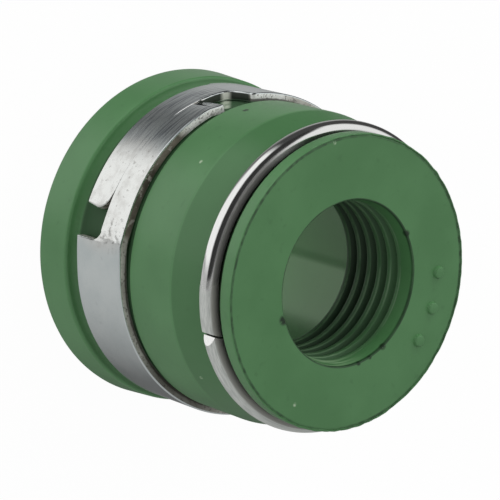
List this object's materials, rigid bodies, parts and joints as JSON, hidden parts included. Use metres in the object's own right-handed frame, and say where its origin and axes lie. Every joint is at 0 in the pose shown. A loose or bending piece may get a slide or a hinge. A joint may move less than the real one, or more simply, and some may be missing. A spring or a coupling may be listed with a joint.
{
  "type": "valve stem seal",
  "caption": "Moulded rubber seal for an engine valve stem: flanged guide end gripped by a lapped steel band clip, ribbed stem bore, and a split wire ring near the stem end.",
  "frame": {"origin": "centre of the guide end face, on the axis of the bores", "axes": "+Z along the axis of the bores, from the guide end up to the stem end; the lap of the band clip faces -Y"},
  "size_m": [0.0208, 0.0208, 0.017],
  "materials": {
    "green_rubber": "semi-matte moulded rubber",
    "strip_steel": "satin rolled strip with fine scratches along it",
    "wire_steel": "drawn wire, polished"
  },
  "bodies": {
    "root": {"seal_body": "green_rubber", "band_clip": "strip_steel", "wire_ring": "wire_steel"}
  },
  "joints": []
}
